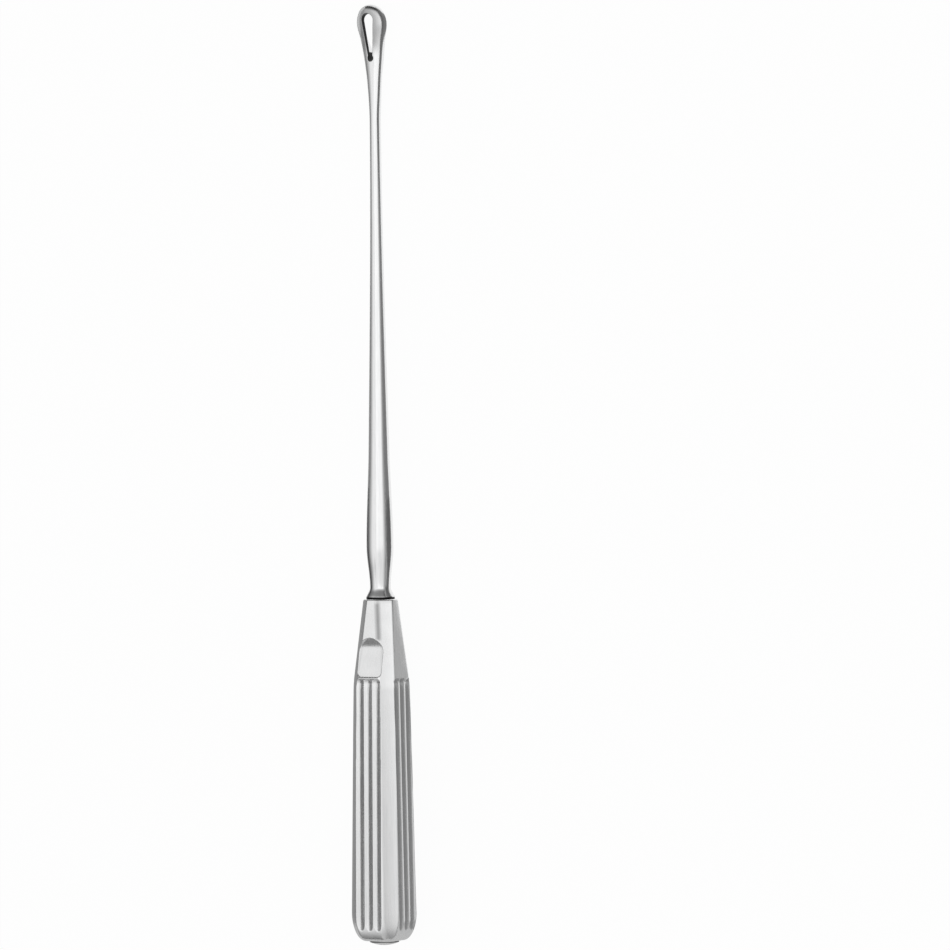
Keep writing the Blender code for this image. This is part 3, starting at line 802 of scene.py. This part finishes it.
def add_node(tree, kind, settings=None, inputs=None):
    """A new node with its settings. Each input is either a value or a socket to link."""
    made = tree.nodes.new(kind)
    for key, value in (settings or {}).items():
        setattr(made, key, value)
    for key, value in (inputs or {}).items():
        if isinstance(value, bpy.types.NodeSocket):
            tree.links.new(value, made.inputs[key])
        else:
            made.inputs[key].default_value = value
    return made


def math_node(tree, operation, *values, clamp=False):
    """The result of one operation on values or sockets."""
    settings = {"operation": operation, "use_clamp": clamp}
    return add_node(tree, "ShaderNodeMath", settings, dict(enumerate(values))).outputs[0]


class Tree:
    """A geometry node tree with named inputs, built one operation at a time."""

    def __init__(self, name, inputs):
        self.tree = bpy.data.node_groups.new(name, "GeometryNodeTree")
        sockets = self.tree.interface
        sockets.new_socket("Geometry", in_out="INPUT", socket_type="NodeSocketGeometry")
        for label, value in inputs.items():
            kind = "NodeSocketMaterial" if value is None else "NodeSocketFloat"
            socket = sockets.new_socket(label, in_out="INPUT", socket_type=kind)
            if value is not None:
                socket.default_value = value
        sockets.new_socket("Geometry", in_out="OUTPUT", socket_type="NodeSocketGeometry")
        self.start = self.tree.nodes.new("NodeGroupInput")
        self.end = self.tree.nodes.new("NodeGroupOutput")

    def size(self, label):
        return self.start.outputs[label]

    def node(self, kind, settings=None, inputs=None):
        return add_node(self.tree, kind, settings, inputs)

    def math(self, operation, *values, clamp=False):
        return math_node(self.tree, operation, *values, clamp=clamp)

    def field(self, label, kind="FLOAT"):
        made = self.node("GeometryNodeInputNamedAttribute", {"data_type": kind}, {"Name": label})
        return made.outputs["Attribute"]

    def apply_to(self, obj, values):
        """Runs the tree on an object and keeps the result as a plain mesh."""
        modifier = obj.modifiers.new(self.tree.name, "NODES")
        modifier.node_group = self.tree
        for item in self.tree.interface.items_tree:
            if item.in_out == "INPUT" and item.name in values:
                modifier[item.identifier] = values[item.name]
        bpy.context.view_layer.update()
        graph = bpy.context.evaluated_depsgraph_get()
        made = bpy.data.meshes.new_from_object(obj.evaluated_get(graph))
        obj.modifiers.remove(modifier)
        obj.data = made
        return obj


def flute_tree():
    """Cuts the flutes into the faces: round grooves side by side, with sharp ridges between them,
    that start as parts of a ball and run out where the butt rounds off."""
    tree = Tree("cut_flutes", {**FLUTE_SIZES, "Material": None})
    m = tree.math
    pitch, full_depth, soft = tree.size("Pitch"), tree.size("Flute Depth"), tree.size("Softness")
    across, down, below = tree.field("across"), tree.field("down"), tree.field("below_face")
    reach = m("MULTIPLY", pitch, 0.5)
    reach_squared = m("MULTIPLY", reach, reach)
    aside = m("SUBTRACT", across, m("MULTIPLY", m("ROUND", m("DIVIDE", across, pitch)), pitch))
    run = m("DIVIDE", m("SUBTRACT", down, tree.size("Starts At")), reach, clamp=True)
    short = m("SUBTRACT", 1.0, run)
    begun = m("SQRT", m("SUBTRACT", 1.0, m("MULTIPLY", short, short)))
    ball_reach = m("MULTIPLY", m("MULTIPLY", short, short), reach_squared)
    from_middle = m("MINIMUM", m("ADD", m("MULTIPLY", aside, aside), ball_reach), reach_squared)
    radius = m(
        "DIVIDE",
        m("ADD", reach_squared, m("MULTIPLY", full_depth, full_depth)),
        m("MULTIPLY", full_depth, 2.0),
    )
    ball = m("SQRT", m("SUBTRACT", m("MULTIPLY", radius, radius), from_middle))
    groove = m("SUBTRACT", ball, m("SUBTRACT", radius, full_depth))
    ridge = tree.size("Ridge Rounding")
    groove = m("SMOOTH_MAX", groove, m("MULTIPLY", ridge, begun), ridge)
    past = m("SUBTRACT", m("ABSOLUTE", across), tree.size("Panel Half Width"))
    past = m("DIVIDE", past, tree.size("Wall"), clamp=True)
    left = m("SUBTRACT", 1.0, past)
    inside = m("SUBTRACT", 1.0, m("SQRT", m("SUBTRACT", 1.0, m("POWER", left, 2.0))))
    depth = m("ADD", groove, m("MULTIPLY", tree.size("Ridge Depth"), begun))
    wanted = m("SUBTRACT", m("MULTIPLY", m("ADD", depth, soft), inside), soft)
    carved = m("SMOOTH_MAX", below, wanted, soft)
    move = m("MULTIPLY", m("SUBTRACT", below, carved), tree.field("carved"))
    outward = tree.field("outward", "FLOAT_VECTOR")
    offset = tree.node("ShaderNodeVectorMath", {"operation": "SCALE"}, {0: outward, "Scale": move})
    # Painted shade in the flutes: the deeper a point lies in a flute, the darker its tone
    flute_shade = m("DIVIDE", m("SUBTRACT", carved, below), full_depth, clamp=True)
    kept = tree.node(
        "GeometryNodeStoreNamedAttribute",
        {"data_type": "FLOAT", "domain": "POINT"},
        {"Geometry": tree.size("Geometry"), "Name": "hollow", "Value": flute_shade},
    )
    moved = tree.node(
        "GeometryNodeSetPosition",
        inputs={"Geometry": kept.outputs[0], "Offset": offset.outputs[0]},
    )
    real = tree.node("GeometryNodeRealizeInstances", inputs={"Geometry": moved.outputs[0]})
    finished = tree.node(
        "GeometryNodeSetMaterial",
        inputs={"Geometry": real.outputs[0], "Material": tree.size("Material")},
    )
    tree.tree.links.new(finished.outputs[0], tree.end.inputs[0])
    return tree


def make_handle(material):
    obj = link("fluted_handle", handle_body())
    return flute_tree().apply_to(obj, {**FLUTE_SIZES, "Material": material})


# The plug


def make_plug():
    """A cap of a sphere with a soft edge over a short spigot, turned in one."""
    radius = PLUG_DIAMETER / 2
    rise = PLUG_DOME - PLUG_EDGE
    sphere = (radius**2 + rise**2) / (2 * rise)
    spread = math.asin(radius / sphere)
    seat = HANDLE_END_AT + SEAT_GAP
    foot = seat - SEAT_GAP + PLUG_CREVICE
    profile = [(seat - SPIGOT_LENGTH, 0.0), (seat - SPIGOT_LENGTH, SPIGOT_DIAMETER / 2)]
    profile += [(foot, SPIGOT_DIAMETER / 2), (foot, radius), (seat + PLUG_CREVICE, radius)]
    in_seam = len(profile)
    for share in np.linspace(1.0, 0.0, PLUG_RINGS):
        angle = spread * share
        crown = seat + PLUG_DOME - sphere * (1 - math.cos(angle))
        profile.append((crown, sphere * math.sin(angle)))
    turns = math.tau * np.arange(PLUG_POINTS) / PLUG_POINTS
    rings = [place(s, r * np.cos(turns), r * np.sin(turns)) for s, r in profile]
    faces = grid_faces(len(rings), len(turns), close_columns=True)
    # Painted shade on the spigot and the foot inside the gap at the seat
    painted_seam_shade = np.repeat([1.0] * in_seam + [0.0] * (len(rings) - in_seam), len(turns))
    points = np.concatenate(rings)
    return link("turned_end_plug", build_mesh("end_plug_steel", points, faces, [("painted_seam_shade", painted_seam_shade)]))


# Finishes


def steel(name, tone, roughness, grain, grain_depth, ripple_depth, shade_and_finish=()):
    """Bare stainless steel: a base tone, a fine grain drawn out along the instrument, and faint
    ripples left by forging and polishing. Each entry of dulled is a point attribute, how much of
    the tone it takes away and how much roughness it adds: the lost tone is painted shade, and the
    added roughness makes the finish duller."""
    material = bpy.data.materials.new(name)
    material.use_nodes = True
    tree = material.node_tree
    shader = tree.nodes["Principled BSDF"]
    shader.inputs["Metallic"].default_value = 1.0
    where = add_node(tree, "ShaderNodeTexCoord").outputs["Object"]

    def noise(stretch, scale, detail, evenness=0.5):
        """A noise that is drawn out along the instrument where stretch is below 1."""
        drawn = add_node(
            tree, "ShaderNodeMapping", inputs={"Vector": where, "Scale": (stretch, 1.0, 1.0)}
        )
        return add_node(
            tree,
            "ShaderNodeTexNoise",
            inputs={
                "Vector": drawn.outputs[0],
                "Scale": scale,
                "Detail": detail,
                "Roughness": evenness,
            },
        ).outputs[0]

    def spread(value, least, most):
        """The middle of a noise's range, spread from least to most."""
        limits = {"From Min": 0.3, "From Max": 0.7, "To Min": least, "To Max": most}
        made = add_node(tree, "ShaderNodeMapRange", inputs={"Value": value, **limits})
        return made.outputs[0]

    fine = noise(0.03, grain, 5.0, 0.6)
    broad, slow = noise(1.0, 220.0, 3.0), noise(0.35, 160.0, 1.0)
    rough = spread(fine, roughness * 0.82, roughness * 1.2)
    roughest = math_node(tree, "ADD", rough, spread(broad, -0.03, 0.03))
    remaining = 1.0
    # Each mask darkens the tone with painted shade and adds roughness
    for label, darker, rougher in shade_and_finish:
        mask = add_node(tree, "ShaderNodeAttribute", {"attribute_name": label}).outputs["Fac"]
        roughest = math_node(tree, "MULTIPLY_ADD", mask, rougher, roughest, clamp=True)
        left = math_node(tree, "MULTIPLY_ADD", mask, -darker, 1.0)
        remaining = math_node(tree, "MULTIPLY", left, remaining)
    tree.links.new(roughest, shader.inputs["Roughness"])
    tint = add_node(tree, "ShaderNodeValToRGB", inputs={"Fac": fine})
    dark, light = tint.color_ramp.elements
    dark.position, light.position = 0.3, 0.7
    dark.color = (tone * 0.93, tone * 0.935, tone * 0.94, 1.0)
    light.color = (tone * 1.03, tone * 1.03, tone * 1.03, 1.0)
    inputs = {0: tint.outputs[0], "Scale": remaining}
    shade = add_node(tree, "ShaderNodeVectorMath", {"operation": "SCALE"}, inputs)
    tree.links.new(shade.outputs[0], shader.inputs["Base Color"])
    inputs = {"Height": fine, "Strength": 1.0, "Distance": grain_depth}
    scratches = add_node(tree, "ShaderNodeBump", inputs=inputs)
    inputs = {"Height": slow, "Distance": ripple_depth, "Normal": scratches.outputs[0]}
    ripples = add_node(tree, "ShaderNodeBump", inputs={"Strength": 1.0, **inputs})
    tree.links.new(ripples.outputs[0], shader.inputs["Normal"])
    return material


# The studio


def seen_directly(tree):
    """1 for what the camera, a reflection or a refraction sees, 0 for light on things."""
    path = add_node(tree, "ShaderNodeLightPath").outputs
    seen = math_node(tree, "MAXIMUM", path["Is Camera Ray"], path["Is Glossy Ray"])
    return math_node(tree, "MAXIMUM", seen, path["Is Transmission Ray"])


def make_floor():
    mesh = bpy.data.meshes.new("floor")
    reach = 3.0
    mesh.from_pydata(
        [(-reach, -reach, 0.0), (reach, -reach, 0.0), (reach, reach, 0.0), (-reach, reach, 0.0)],
        [],
        [(0, 1, 2, 3)],
    )
    floor = link("floor", mesh)
    material = bpy.data.materials.new("white_paper")
    material.use_nodes = True
    tree = material.node_tree
    paper = tree.nodes["Principled BSDF"]
    paper.inputs["Base Color"].default_value = (0.9, 0.9, 0.9, 1.0)
    paper.inputs["Roughness"].default_value = 0.9
    paper.inputs["Specular IOR Level"].default_value = 0.0
    white = add_node(tree, "ShaderNodeEmission").outputs[0]
    share = math_node(tree, "MULTIPLY", seen_directly(tree), 0.95)
    mix = add_node(tree, "ShaderNodeMixShader", inputs={0: share, 1: paper.outputs[0], 2: white})
    tree.links.new(mix.outputs[0], tree.nodes["Material Output"].inputs["Surface"])
    mesh.materials.append(material)


def make_card(name, corners, level):
    """A card glowing a plain grey, as photographers stand a card beside bright metal to give it a
    dark edge. What the metal shows of it is a painted reflection: only reflections see it, and it
    neither lights nor shades anything."""
    mesh = bpy.data.meshes.new(name)
    mesh.from_pydata(corners, [], [tuple(range(len(corners)))])
    card = link(name, mesh)
    material = bpy.data.materials.new(name)
    material.use_nodes = True
    tree = material.node_tree
    glow = add_node(tree, "ShaderNodeEmission", inputs={"Color": (level, level, level, 1.0)})
    tree.links.new(glow.outputs[0], tree.nodes["Material Output"].inputs["Surface"])
    mesh.materials.append(material)
    card.visible_camera = False
    card.visible_diffuse = False
    card.visible_shadow = False


def make_cards():
    """Cards lie just above the floor along both sides of the instrument and past its butt.
    Others stand upright to the left of the handle, the belly and the head, to the right of the
    head and past the tip."""
    tip, belly, top, knee, past_butt, butt = 0.17, -0.006, -0.033, -0.058, -0.1285, -0.17
    far, above, end_above = 0.6, 0.0002, 0.0003
    flutes = ((knee, -0.0075), (-0.116, -0.0083), (-0.124, -0.005), (past_butt, -0.005))
    flutes += ((past_butt, -far), (knee, -far))
    left = ((tip, 0.012), (-0.05, 0.0135), (-0.06, 0.0085), (butt, 0.0085), (butt, far), (tip, far))
    lying = (
        ("right_card", 0.21, ((tip, -0.0035), (belly, -0.0074), (belly, -far), (tip, -far))),
        ("belly_card", 0.12, ((belly, -0.0074), (top, -0.008), (top, -far), (belly, -far))),
        ("taper_card", 0.42, ((top, -0.008), (knee, -0.0086), (knee, -far), (top, -far))),
        ("flute_card", 0.26, flutes),
        ("left_card", 0.3, left),
    )
    for name, level, outline in lying:
        make_card(name, [(x, y, above) for x, y in outline], level)
    outline = ((past_butt, -far), (past_butt, far), (-far, far), (-far, -far))
    make_card("end_card", [(x, y, end_above) for x, y in outline], 0.52)
    near, past_tip, side = 0.1185, 0.16, 0.03
    flag = ((-0.005, 0.0), (-0.01, 0.03), (-0.034, 0.034), (-0.056, 0.105))
    flag += ((-0.062, 0.16), (-0.085, 0.3), (-0.14, 0.3), (-0.14, 0.0))
    beside_belly = ((-0.002, 0.0), (-0.034, 0.0), (-0.034, 0.015), (-0.002, 0.007))
    left = ((near, 0.0), (past_tip, 0.0), (past_tip, 0.022), (near, 0.016))
    right = ((0.085, 0.0), (past_tip, 0.0), (past_tip, 0.028), (near, 0.02), (0.085, 0.008))
    standing = (
        ("handle_flag", 0.2, 0.06, flag),
        ("left_of_belly", 0.05, side, beside_belly),
        ("left_of_head", 0.92, side, left),
        ("right_of_head", 0.14, -side, right),
    )
    for name, level, y, outline in standing:
        make_card(name, [(x, y, z) for x, z in outline], level)
    outline = ((-side, 0.0), (side, 0.0), (side, 0.03), (-side, 0.03))
    make_card("past_the_tip", [(past_tip, y, z) for y, z in outline], 0.05)


def panel_light(name, towards, distance, along, length, width, radiance):
    """A soft panel over the instrument: which way it stands from it, how far, how far its middle
    is shifted along X, and its size along and across the instrument."""
    data = bpy.data.lights.new(name, "AREA")
    data.shape = "RECTANGLE"
    data.size, data.size_y = length, width
    data.energy = radiance * math.pi * length * width
    light = bpy.data.objects.new(name, data)
    light.location = towards * distance + Vector((along, 0.0, 0.0))
    light.rotation_mode = "QUATERNION"
    light.rotation_quaternion = (-towards).to_track_quat("-Z", "Y")
    bpy.context.scene.collection.objects.link(light)


# How bright the surroundings are, by degrees from the right horizon over the top to the left one
SURROUNDINGS = (
    (0, 0.24),
    (8, 0.32),
    (18, 0.58),
    (30, 0.84),
    (60, 0.84),
    (84, 0.92),
    (108, 0.94),
    (124, 0.93),
    (138, 0.66),
    (152, 0.42),
    (166, 0.24),
    (180, 0.2),
)

# How bright the surroundings are along X, from straight past the butt at 0 to straight past
# the tip at 1
ENDS = ((0.0, 0.55), (0.1, 0.55), (0.33, 1.0), (0.67, 1.0), (0.9, 0.25), (1.0, 0.25))


def brightness_ramp(tree, fac, stops):
    """A ramp of greys from pairs of a position and a brightness."""
    ramp = add_node(tree, "ShaderNodeValToRGB", inputs={"Fac": fac})
    elements = ramp.color_ramp.elements
    while len(elements) < len(stops):
        elements.new(0.5)
    for element, (position, _) in zip(elements, stops):
        element.position = position
    for element, (_, level) in zip(elements, stops):
        element.color = (level, level, level, 1.0)
    return ramp


def make_world():
    """White where the camera sees it. Round the metal it is a bright tent overhead with dim
    sides, and the stops give its brightness by degrees from the right horizon to the left."""
    world = bpy.data.worlds.new("studio")
    bpy.context.scene.world = world
    world.use_nodes = True
    tree = world.node_tree
    where = add_node(tree, "ShaderNodeTexCoord").outputs["Generated"]
    x, y, z = add_node(tree, "ShaderNodeSeparateXYZ", inputs={0: where}).outputs
    turn = math_node(tree, "ARCTAN2", z, math_node(tree, "MULTIPLY", y, -1.0))
    half_turns = math_node(tree, "DIVIDE", turn, math.pi)
    stops = [(degrees / 180, level) for degrees, level in SURROUNDINGS]
    tent = brightness_ramp(tree, half_turns, stops)
    along = add_node(tree, "ShaderNodeMapRange", inputs={"Value": x, "From Min": -1.0})
    ends = brightness_ramp(tree, along.outputs[0], ENDS)
    ends.color_ramp.interpolation = "EASE"
    inputs = {0: tent.outputs[0], "Scale": ends.outputs[0]}
    dimmed = add_node(tree, "ShaderNodeVectorMath", {"operation": "SCALE"}, inputs)
    path = add_node(tree, "ShaderNodeLightPath").outputs
    pale, white = (0.8, 0.8, 0.8, 1.0), (1.0, 1.0, 1.0, 1.0)
    inputs = {"Factor": path["Is Glossy Ray"], 6: pale, 7: dimmed.outputs[0]}
    for_metal = add_node(tree, "ShaderNodeMix", {"data_type": "RGBA"}, inputs)
    inputs = {"Factor": path["Is Camera Ray"], 6: for_metal.outputs[2], 7: white}
    seen = add_node(tree, "ShaderNodeMix", {"data_type": "RGBA"}, inputs)
    tree.links.new(seen.outputs[2], tree.nodes["Background"].inputs["Color"])


def picture_axes():
    """The camera's directions: towards it, to the right and up in the picture."""
    laid = lay_down().to_3x3()
    turn = TURN_FROM_FRONT
    back = laid @ Vector((0.0, -math.sin(turn), math.cos(turn)))
    along = laid @ Vector((1.0, 0.0, 0.0))
    right = along.cross(back)
    return back, (right * math.cos(LEAN) - along * math.sin(LEAN)), (
        along * math.cos(LEAN) + right * math.sin(LEAN)
    )


def make_camera():
    back, right, up = picture_axes()
    data = bpy.data.cameras.new("camera")
    data.lens = LENS
    data.sensor_width = SENSOR_WIDTH
    distance = PICTURE_WIDTH / PIXELS_PER_METRE * LENS / data.sensor_width
    middle = Vector(REST_MIDDLE) - right * (AXIS_FROM_MIDDLE / PIXELS_PER_METRE)
    camera = bpy.data.objects.new("camera", data)
    camera.matrix_world = Matrix(
        (
            (right.x, up.x, back.x, 0.0),
            (right.y, up.y, back.y, 0.0),
            (right.z, up.z, back.z, 0.0),
            (0.0, 0.0, 0.0, 1.0),
        )
    )
    camera.location = middle + back * distance
    data.clip_start, data.clip_end = SEES_FROM, SEES_TO
    bpy.context.scene.collection.objects.link(camera)
    bpy.context.scene.camera = camera


def dress(obj, node, box, material=None):
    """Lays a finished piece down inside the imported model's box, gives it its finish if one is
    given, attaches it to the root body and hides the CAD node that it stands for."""
    mesh = obj.data
    if material is not None:
        mesh.materials.clear()
        mesh.materials.append(material)
    mesh.transform(lay_down())
    corners = np.empty(len(mesh.vertices) * 3, dtype=np.float32)
    mesh.vertices.foreach_get("co", corners)
    corners = np.clip(corners.reshape(-1, 3), box[0], box[1])
    mesh.vertices.foreach_set("co", corners.astype(np.float32).ravel())
    mesh.shade_smooth()
    mesh.set_sharp_from_angle(angle=SHARP_FROM)
    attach(obj, "root")
    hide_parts(node)


def main():
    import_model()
    cad_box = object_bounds()
    bright = steel(
        "polished_steel",
        tone=0.86,
        roughness=0.2,
        grain=2600.0,
        grain_depth=0.000002,
        ripple_depth=0.00004,
        # Painted shade near the window, on its cut walls and in the crevice at the shoulder; the
        # ground finish also adds roughness
        shade_and_finish=(("ground_and_painted_shade", 0.48, 0.06), ("painted_wall_shade", 0.98, 0.2)),
    )
    satin = steel(
        "satin_steel",
        tone=0.9,
        roughness=0.24,
        grain=2200.0,
        grain_depth=0.000004,
        ripple_depth=0.00003,
        # Painted shade in the flutes, along the right edge above the thumb rest and on the cut
        # corners
        shade_and_finish=(("hollow", 0.14, 0.0), ("painted_edge_shade", 0.55, 0.05), ("corner_shade", 0.3, 0.0)),
    )
    turned = steel(
        "turned_steel",
        tone=0.84,
        roughness=0.28,
        grain=2400.0,
        grain_depth=0.000003,
        ripple_depth=0.00002,
        # Painted shade in the seam between the plug and the handle
        shade_and_finish=(("painted_seam_shade", 0.85, 0.2),),
    )
    dress(make_loop_shaft(), "loop_shaft", cad_box, bright)
    dress(make_handle(satin), "handle", cad_box)
    dress(make_plug(), "end_plug", cad_box, turned)
    make_floor()
    make_world()
    make_cards()
    towards_camera, _, _ = picture_axes()
    panel_light(
        "top_panel",
        towards_camera,
        distance=0.9,
        along=0.13,
        length=0.45,
        width=1.1,
        radiance=0.26,
    )
    make_camera()
    bpy.context.scene.view_settings.view_transform = "Standard"


main()
